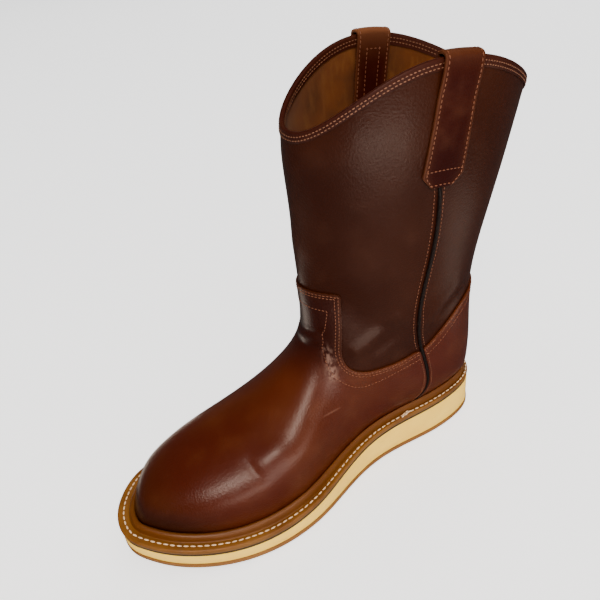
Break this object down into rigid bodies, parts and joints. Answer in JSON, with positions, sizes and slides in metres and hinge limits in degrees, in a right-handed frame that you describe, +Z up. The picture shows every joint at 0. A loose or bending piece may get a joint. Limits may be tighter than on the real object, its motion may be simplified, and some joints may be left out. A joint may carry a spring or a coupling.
{
  "type": "work boot",
  "caption": "Pull-on leather work boot for the right foot, with a scalloped collar, pull straps, vamp with tongue tab, stitched storm welt and a cream wedge sole.",
  "frame": {"origin": "middle of the boot's box on the floor it stands on", "axes": "+X towards the toe, +Y towards the inner (medial) side of the foot, +Z up"},
  "size_m": [0.337, 0.1206, 0.3025],
  "materials": {
    "shaft_leather": "oiled, glossy",
    "vamp_leather": "oiled, glossy",
    "piping_leather": "satin",
    "welt_leather": "waxed",
    "midsole_leather": "edge-finished",
    "cream_rubber": "matte",
    "tread_rubber": "matte",
    "insole_leather": "matte"
  },
  "bodies": {
    "root": {"upper": "shaft_leather", "vamp": "vamp_leather", "counter": "vamp_leather", "collar_binding": "vamp_leather", "pull_strap_medial": "vamp_leather", "pull_strap_lateral": "vamp_leather", "piping_medial": "piping_leather", "piping_lateral": "piping_leather", "welt": "welt_leather", "midsole": "midsole_leather", "outsole": "cream_rubber", "tread": "tread_rubber", "insole": "insole_leather"}
  },
  "joints": []
}
